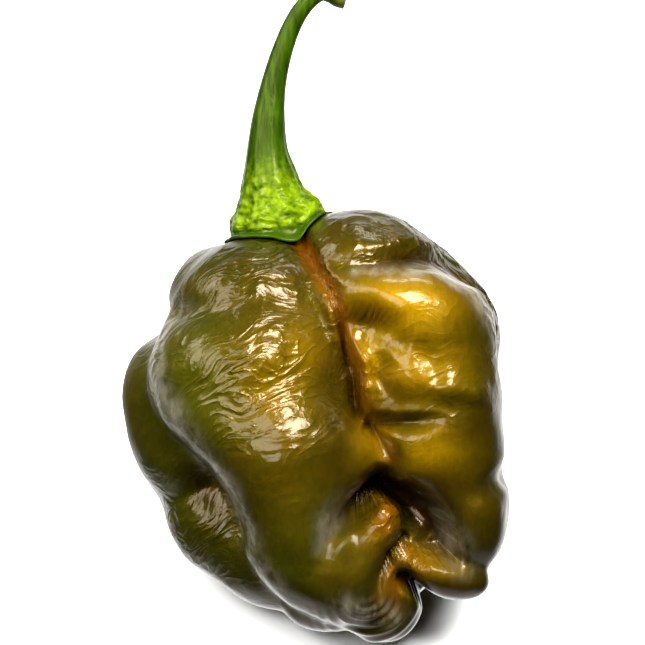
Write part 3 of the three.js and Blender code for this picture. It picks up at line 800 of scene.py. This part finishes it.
class ChilliSizes(bpy.types.PropertyGroup):
    pod_cuts: bpy.props.IntProperty(
        name="Skin cuts", description="Cuts along each side of the cube that the skin starts as",
        default=100, min=15, max=100,
    )
    seam_front: bpy.props.FloatProperty(
        name="Front seam", description="Rounding of the front creases between the lobes, in mm",
        default=0.42, min=0.2, max=2.0,
    )
    seam_back: bpy.props.FloatProperty(
        name="Back seam", description="Rounding of the back creases between the lobes, in mm",
        default=1.2, min=0.2, max=3.0,
    )
    wrinkle_depth: bpy.props.FloatProperty(
        name="Wrinkle depth", description="Height of the wrinkles from valley to ridge",
        default=0.42 * MM, min=0.0, max=1.0 * MM, unit="LENGTH", precision=5,
    )
    stalk_sides: bpy.props.IntProperty(
        name="Stalk sides", description="Faces round the stalk", default=144, min=24, max=256
    )


class ChilliColours(bpy.types.PropertyGroup):
    green: bpy.props.StringProperty(name="Green", description="Unripe skin", default="#2f3003")
    olive: bpy.props.StringProperty(name="Olive", description="Half ripe skin", default="#3d3202")
    unripe: bpy.props.StringProperty(name="Unripe", description="Palest skin", default="#484a06")
    golden: bpy.props.StringProperty(name="Golden", description="Ripening skin", default="#9c7800")
    orange: bpy.props.StringProperty(name="Orange", description="Ripe skin", default="#8f5500")
    # Colour of the painted shade in the folds and hollows, and of the brown skin beside the crease
    shade_and_brown: bpy.props.StringProperty(name="Deep", description="Bottom of a fold", default="#2a1802")
    # Colour of the painted pale reflections on the lobes' edges and the hollow's banks
    painted_reflection: bpy.props.StringProperty(name="Bloom", description="Pale bloom", default="#98917f")
    stalk: bpy.props.StringProperty(name="Stalk", description="Stalk", default="#273d02")
    stalk_light: bpy.props.StringProperty(
        name="Stalk fibres", description="Pale fibres of the stalk", default="#4c6c06"
    )
    cap: bpy.props.StringProperty(name="Cap", description="Crinkled cap", default="#7d9706")
    lip: bpy.props.StringProperty(name="Lip", description="Edge of the cap", default="#375004")
    cut: bpy.props.StringProperty(name="Cut", description="Cut end", default="#6d6a30")


def creped(points, layers):
    """Rounded ridges with sharp valleys between them, from about -1 to 1."""
    return sum(
        share * (1 - VALLEY_DEPTH * np.abs(grain(points, size, place)))
        for share, size, place in layers
    )


def flowing(points):
    """The points' places, bent so that what lies level in them follows the skin's ripples."""
    places = points.copy()
    rise = RIPPLE_RISE + FLANK_RISE * smooth_step(*FLANK_RANGE, points[:, 0])
    places[:, 2] += WAVER * grain(points, WAVER_SIZE) - rise * points[:, 0]
    return places


def wrinkles(points):
    """Height of the skin's wrinkles at each point, about -1 to 1."""
    reach = np.hypot(points[:, 0] - RIDGE_MIDDLE[0], points[:, 2] - RIDGE_MIDDLE[1])
    waver = RIDGE_WAVER * grain(points, RIDGE_WAVER_SIZE)
    ridge = np.cos(reach * 2 * math.pi / RIDGE_PITCH + waver)
    crease = CREASE_HEIGHT * creped(points @ SHOULDER_TILT, CREASES)
    pebble = PEBBLE_HEIGHT * creped(points, PEBBLES)

    height = TAUT_HEIGHT + RIPPLE_HEIGHT * patch(points, RIPPLED)
    fine = height * creped(flowing(points), RIPPLES)
    fine += patch(points, CREASED) * (crease - fine)
    fine += patch(points, PEBBLED) * (pebble - fine)
    fine += patch(points, RIDGED) * (ridge - fine)
    swell = SWELL_HEIGHT * grain(points, SWELL_SIZE, SWELL_PLACE)
    return (fine + swell) * (1 - patch(points, SEAT))


class CHILLI_OT_pod(bpy.types.Operator):
    """Models the fruit's skin with its lobes, folds and wrinkles"""

    bl_idname = "chilli.pod"
    bl_label = "Pod"

    def execute(self, context):
        sizes = context.scene.chilli_sizes
        pod = start_piece("pod_skin", bpy.ops.mesh.primitive_cube_add, size=2)
        bpy.ops.object.mode_set(mode="EDIT")
        bpy.ops.mesh.select_all(action="SELECT")
        bpy.ops.mesh.subdivide(number_cuts=sizes.pod_cuts)
        bpy.ops.object.mode_set(mode="OBJECT")

        # Directions spread evenly from the cube's points, then drawn to the front
        outward = units(np.tan(get_points(pod.data) * math.pi / 4))
        outward[:, 1] -= FRONT_SHARE
        outward = units(outward)
        start = POD_CENTRE + POD_REACH * outward
        skin = come_in(
            start, -outward, lambda points: pod_distance(points, sizes.seam_front, sizes.seam_back)
        )
        place = standing_place(lay_down(skin))
        context.scene["chilli_place"] = place.tolist()

        # The wrinkles stand out from the smooth skin, and are pressed flat where the fruit lies
        set_points(pod.data, skin)
        depth = sizes.wrinkle_depth / MM / 2
        raised = skin + get_normals(pod.data) * (depth * wrinkles(skin))[:, None]
        laid = lay_down(raised) + place
        laid[:, 2] = np.maximum(laid[:, 2], 0)
        set_points(pod.data, laid * MM)

        front = np.clip(-skin[:, 1] / PAINT_FADE + PAINT_LEVEL, 0, 1)
        # Painted pale reflections along the lobes' edges and on the hollow's banks
        in_painted_reflection = smooth_step(*PAINTED_REFLECTION_RANGE, skin[:, 1]) * strongest_stroke(skin, PAINTED_REFLECTION)
        shade_in_fold = smooth_step(*SHADE_RANGE, strongest_stroke(skin, FOLDS))
        # Golden ripe colour, partly a painted glow round the highlight on the right bulge
        paint(pod.data, "golden", front * flush(skin, GOLDEN_AND_GLOW))
        paint(pod.data, "orange", front * strongest_stroke(skin, ORANGE))
        paint(pod.data, "rippled", LEAST_RIPPLE + patch(skin, RIPPLED))
        paint(pod.data, "pebbled", patch(skin, PEBBLED + CREASED))
        paint(pod.data, "unripe", flush(skin, UNRIPE))
        paint(pod.data, "gloss", FULL_GLOSS * (1 - flush(skin, DULL)))
        paint(pod.data, "painted_reflection", in_painted_reflection)
        # Painted shade in the folds, the dimple and the hollow, partly brown skin beside the crease
        paint(pod.data, "shade_and_brown", front * np.maximum(shade_in_fold, flush(skin, BROWN_AND_SHADE)))
        paint_places(pod.data, "flow", flowing(skin))

        bpy.ops.object.shade_smooth()
        pod.data.materials.append(waxy_skin(context.scene.chilli_colours))
        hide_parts("pod")
        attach(pod, "root")
        return {"FINISHED"}


def curve_point(line, along):
    """A point of the smooth curve through a line's points, for a share of its length."""
    values = np.array(line)
    at = np.clip(along, 0, 1) * (len(values) - 1)
    i = int(min(at, len(values) - 2))
    t = at - i
    before = values[i - 1] if i > 0 else 2 * values[0] - values[1]
    after = values[i + 2] if i + 2 < len(values) else 2 * values[-1] - values[-2]
    a, b = values[i], values[i + 1]
    return 0.5 * (
        2 * a
        + (b - before) * t
        + (2 * before - 5 * a + 4 * b - after) * t**2
        + (3 * a - before - 3 * b + after) * t**3
    )


def unit(vector):
    return vector / np.linalg.norm(vector)


def ring_round(turn, centre, axis, reach):
    """A ring of points round a centre, square to an axis."""
    side = unit(np.cross([0, 1, 0], axis))
    front = np.cross(axis, side)
    return centre + np.outer(reach * np.cos(turn), side) + np.outer(reach * np.sin(turn), front)


def over_skin(points):
    return lobe_distance(points, SEAM_UNDER_CAP) - CAP_GAP


def under_cap(turn, axis, reach):
    """A ring that comes down on the fruit's skin under the cap."""
    start = ring_round(turn, CAP_CENTRE + CAP_LIFT * axis, axis, reach)
    return come_in(start, np.tile(-axis, (len(turn), 1)), over_skin)


def shares(turn, cap=0.0, lip=0.0, cut=0.0, crevice_shade=0.0):
    """How much of the cap, lip, cut end and painted crevice shade each point of a ring has."""
    columns = (cap, lip, cut, crevice_shade)
    return np.column_stack([np.broadcast_to(column, turn.shape) for column in columns])


def lip_rings(turn, axis):
    """The cap's underside and the thin edge of its lip, each ring with its shares."""
    lip = LIP_RADIUS + sum(high * np.sin(count * turn + start) for count, high, start in LIP_WAVES)
    rings = [under_cap(turn, axis, share * lip) for share in LIP_UNDERSIDE]
    rings += [under_cap(turn, axis, share * lip) + high * axis for share, high in LIP_EDGE]
    return [(ring, shares(turn, lip=1.0)) for ring in rings]


def stalk_rings(turn, axis, last):
    """The crinkled cap and the ribbed stalk up to its cut end, each ring with its shares."""
    line = np.array(STALK_LINE)
    pleat_count, pleat_height, pleat_start = PLEATS
    rib_count, rib_height = RIBS
    rings = []
    for i in range(STALK_RINGS + 1):
        along = (i / STALK_RINGS) ** STALK_CROWDING
        centre = curve_point(line, along)
        ahead = curve_point(line, min(along + TANGENT_SPAN, 1.0))
        behind = curve_point(line, max(along - TANGENT_SPAN, 0.0))
        tangent = unit(ahead[:3] - behind[:3])
        pleats = np.sin(pleat_count * turn + pleat_start)
        pleats = pleats * pleat_height * smooth_step(*PLEAT_RANGE, along)
        ribs = rib_height * np.sin(rib_count * turn)
        ring = ring_round(turn, centre[:3], tangent, centre[3] * (1 + pleats + ribs))
        if i < HELD_ABOVE_LIP:
            ring += np.outer(np.maximum(last @ axis + RISE_ABOVE_LIP - ring @ axis, 0), axis)

        bell = smooth_step(*BELL_RANGE, along)
        crinkle = creped(ring, CRINKLES)
        ring += units(ring - centre[:3]) * (CRINKLE_HEIGHT * bell * crinkle)[:, None]
        mark = shares(
            turn,
            # the cap's colour, partly a painted highlight up the stalk
            cap=smooth_step(*CAP_AND_HIGHLIGHT_RANGE, along),
            lip=smooth_step(*LIP_RANGE, along),
            cut=smooth_step(*CUT_RANGE, along),
            # painted shade in the crinkles' crevices
            crevice_shade=CREVICE_SHADE_SHARE * bell * smooth_step(*CREVICE_SHADE_RANGE, crinkle),
        )
        rings.append((ring, mark))
        last = ring
    return rings, tangent


class CHILLI_OT_stem(bpy.types.Operator):
    """Models the stalk with its crinkled cap"""

    bl_idname = "chilli.stem"
    bl_label = "Stem"

    def execute(self, context):
        sides = context.scene.chilli_sizes.stalk_sides
        turn = 2 * math.pi * np.arange(sides) / sides
        line = np.array(STALK_LINE)
        axis = unit(curve_point(line, CAP_SPAN)[:3] - curve_point(line, 0)[:3])
        rings = lip_rings(turn, axis)
        stalk, tangent = stalk_rings(turn, axis, rings[-1][0])
        rings += stalk
        end = rings[-1][0]
        middle = end.mean(axis=0)
        for share, out in CUT_END:
            rings.append((middle + share * (end - middle) + out * tangent, shares(turn, cut=1.0)))

        # The rings of a sphere are moved to these places, from its lower pole to its upper one
        stem = start_piece(
            "stem_green", bpy.ops.mesh.primitive_uv_sphere_add,
            segments=sides, ring_count=len(rings) + 1,
        )
        sphere = get_points(stem.data)
        placed = np.empty_like(sphere)
        marked = np.zeros((len(sphere), 4))
        order = np.argsort(np.round(sphere[:, 2], LEVEL_DIGITS), kind="stable")
        placed[order[0]] = under_cap(turn[:1], axis, 0.0)[0]
        marked[order[0]] = shares(turn[:1], lip=1.0)[0]
        placed[order[-1]] = middle + CUT_MIDDLE * tangent
        marked[order[-1]] = shares(turn[:1], cut=1.0)[0]
        for k, (ring, mark) in enumerate(rings):
            members = order[1 + k * sides : 1 + (k + 1) * sides]
            angle = np.mod(np.arctan2(sphere[members, 1], sphere[members, 0]), 2 * math.pi)
            step = np.round(angle / (2 * math.pi) * sides).astype(int) % sides
            placed[members] = ring[step]
            marked[members] = mark[step]
        laid = lay_down(placed) + np.array(context.scene["chilli_place"])
        set_points(stem.data, laid * MM)
        for column, name in enumerate(("cap", "lip", "cut", "crevice_shade")):
            paint(stem.data, name, marked[:, column])

        bpy.ops.object.mode_set(mode="EDIT")
        bpy.ops.mesh.select_all(action="SELECT")
        bpy.ops.mesh.normals_make_consistent(inside=False)
        bpy.ops.object.mode_set(mode="OBJECT")
        bpy.ops.object.shade_smooth()
        stem.data.materials.append(green_stalk(context.scene.chilli_colours))
        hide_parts("stem")
        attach(stem, "root")
        return {"FINISHED"}


def soft_box(name, toward, distance, width, height, power):
    """A white area light that faces the fruit from a direction in the part's frame."""
    light = bpy.data.lights.new(name, "AREA")
    light.shape = "RECTANGLE"
    light.size = width
    light.size_y = height
    light.energy = power
    lamp = bpy.data.objects.new(name, light)
    direction = Vector(toward).normalized()
    lamp.location = LIT_POINT + distance * direction
    lamp.rotation_euler = direction.to_track_quat("Z", "Y").to_euler()
    bpy.context.collection.objects.link(lamp)
    return lamp


class CHILLI_OT_stage(bpy.types.Operator):
    """Sets the white floor, the soft lights and the camera"""

    bl_idname = "chilli.stage"
    bl_label = "Stage"

    def execute(self, context):
        # The fruit mirrors the bright parts of the surroundings, and not this floor, which would
        # light it evenly from below
        floor = start_piece("floor", bpy.ops.mesh.primitive_plane_add, size=FLOOR_SIZE)
        floor.data.materials.append(white_sweep())
        floor.visible_glossy = False
        floor.visible_diffuse = False

        world = context.scene.world or bpy.data.worlds.new("Studio")
        context.scene.world = world
        world.use_nodes = True
        tree = world.node_tree
        tree.nodes.clear()
        # A dark room: the fruit's rims mirror the bright table behind it and its undersides the
        # table below
        direction = add_node(tree, "ShaderNodeTexCoord").outputs["Generated"]
        behind = add_node(
            tree, "ShaderNodeVectorMath", {"operation": "DOT_PRODUCT"},
            i0=direction, i1=(0.0, math.cos(LEAN_BACK), -math.sin(LEAN_BACK)),
        ).outputs["Value"]
        upright = add_node(tree, "ShaderNodeSeparateXYZ", Vector=direction).outputs["Z"]
        strength = calculate(
            tree, "MAXIMUM",
            map_range(tree, behind, *TABLE_BEHIND, soft=True),
            map_range(tree, upright, *TABLE_BELOW, soft=True),
        )
        surroundings = add_node(
            tree, "ShaderNodeBackground", Color=linear("#ffffff"), Strength=strength
        )
        add_node(tree, "ShaderNodeOutputWorld", Surface=surroundings.outputs[0])

        for name, light in LIGHTS.items():
            soft_box(name, *light)
        # The floor burns out to white round the soft shadow, and this light leaves the fruit alone
        fill = soft_box("floor fill", *FLOOR_LIGHT)
        floor_only = bpy.data.collections.new("Floor fill lights this")
        floor_only.objects.link(floor)
        fill.light_linking.receiver_collection = floor_only

        place = np.array(context.scene["chilli_place"])
        aim = Vector((lay_down(np.array([SEEN_MIDDLE]))[0] + place) * MM)
        back = Vector((0.0, -math.cos(LEAN_BACK), math.sin(LEAN_BACK)))
        camera_data = bpy.data.cameras.new("Camera")
        camera_data.sensor_width = CAMERA_SENSOR
        camera_data.lens = CAMERA_SENSOR * CAMERA_DISTANCE / SEEN_WIDTH
        camera_data.clip_start = CLIP_START
        camera = bpy.data.objects.new("Camera", camera_data)
        camera.location = aim + CAMERA_DISTANCE * back
        camera.rotation_euler = back.to_track_quat("Z", "Y").to_euler()
        context.collection.objects.link(camera)
        context.scene.camera = camera

        context.scene.view_settings.view_transform = "Standard"
        context.scene.view_settings.look = "Medium High Contrast"
        return {"FINISHED"}


class CHILLI_PT_panel(bpy.types.Panel):
    """Lists the pieces of the chilli pepper"""

    bl_idname = "CHILLI_PT_panel"
    bl_label = "Chilli Pepper"
    bl_space_type = "VIEW_3D"
    bl_region_type = "UI"
    bl_category = "Chilli"

    def draw(self, context):
        for group in (context.scene.chilli_sizes, context.scene.chilli_colours):
            column = self.layout.column()
            for name in group.__annotations__:
                column.prop(group, name)
        for operator in OPERATORS:
            self.layout.operator(operator.bl_idname)


GROUPS = (ChilliSizes, ChilliColours)
OPERATORS = (CHILLI_OT_pod, CHILLI_OT_stem, CHILLI_OT_stage)


def register():
    for group in (*GROUPS, *OPERATORS, CHILLI_PT_panel):
        bpy.utils.register_class(group)
    bpy.types.Scene.chilli_sizes = bpy.props.PointerProperty(type=ChilliSizes)
    bpy.types.Scene.chilli_colours = bpy.props.PointerProperty(type=ChilliColours)


def unregister():
    del bpy.types.Scene.chilli_colours
    del bpy.types.Scene.chilli_sizes
    for group in reversed((*GROUPS, *OPERATORS, CHILLI_PT_panel)):
        bpy.utils.unregister_class(group)


def main():
    register()
    bpy.ops.chilli.pod()
    bpy.ops.chilli.stem()
    bpy.ops.chilli.stage()


if __name__ == "__main__":
    main()
